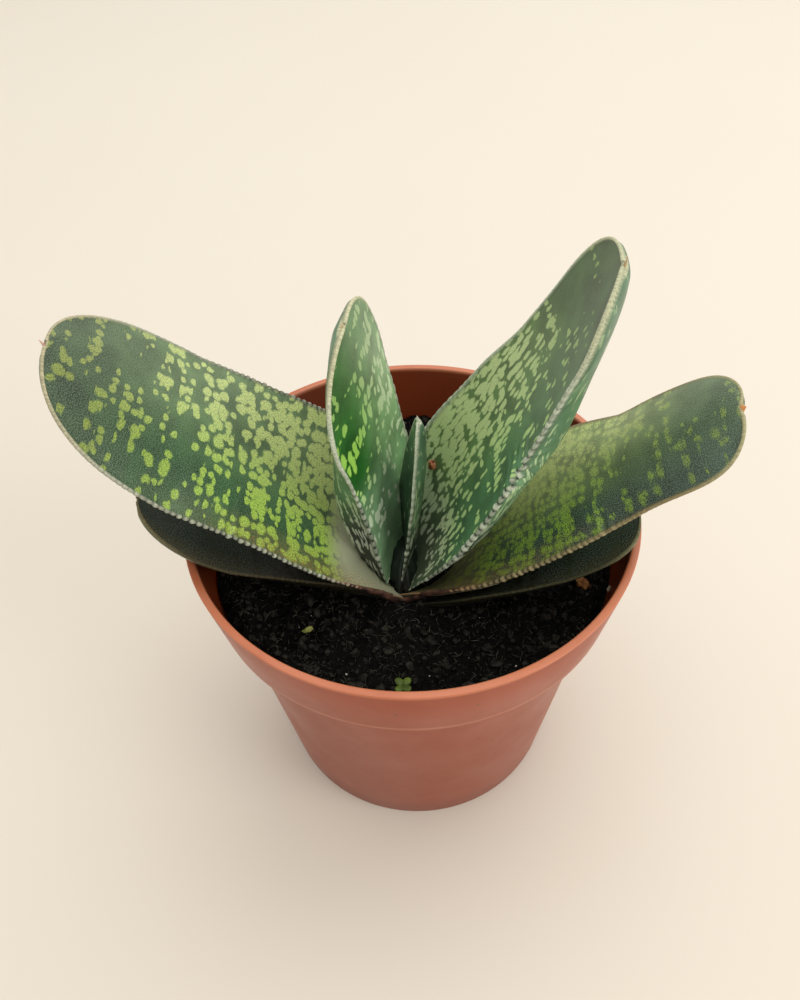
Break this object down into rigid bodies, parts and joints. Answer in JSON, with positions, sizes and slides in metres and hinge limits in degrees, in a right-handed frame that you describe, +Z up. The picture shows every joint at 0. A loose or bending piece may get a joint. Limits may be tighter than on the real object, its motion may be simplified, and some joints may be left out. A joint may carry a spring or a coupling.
{
  "type": "potted gasteria plant",
  "caption": "Gasteria with broad, mottled, tongue-shaped leaves with beaded margins in opposite ranks, growing in peat in a round terracotta-coloured nursery pot with a deep collar.",
  "frame": {"origin": "centre of the pot's flat underside, on the surface that it stands on", "axes": "+Z up; the fan of leaves spreads along X; the open front of the fan faces -Y"},
  "size_m": [0.1251, 0.105, 0.1526],
  "materials": {
    "pot_plastic": "satin moulded polypropylene, terracotta orange",
    "peat": "loose, fibrous, near black",
    "stem_skin": "dull, corky, pale brown",
    "leaf_skin": "waxy satin, blue-green mottled with yellow-green, pale horny margins",
    "bark": "rough, brown",
    "seedling_green": "soft, fresh green"
  },
  "bodies": {
    "root": {"pot": "pot_plastic", "soil": "peat", "stem": "stem_skin", "leaf_centre": "leaf_skin", "leaf_left_upright": "leaf_skin", "leaf_right_tall": "leaf_skin", "leaf_left_broad": "leaf_skin", "leaf_right_broad": "leaf_skin", "leaf_left_low": "leaf_skin", "leaf_right_low": "leaf_skin", "bark_crumb": "bark", "seedling": "seedling_green"}
  },
  "joints": []
}
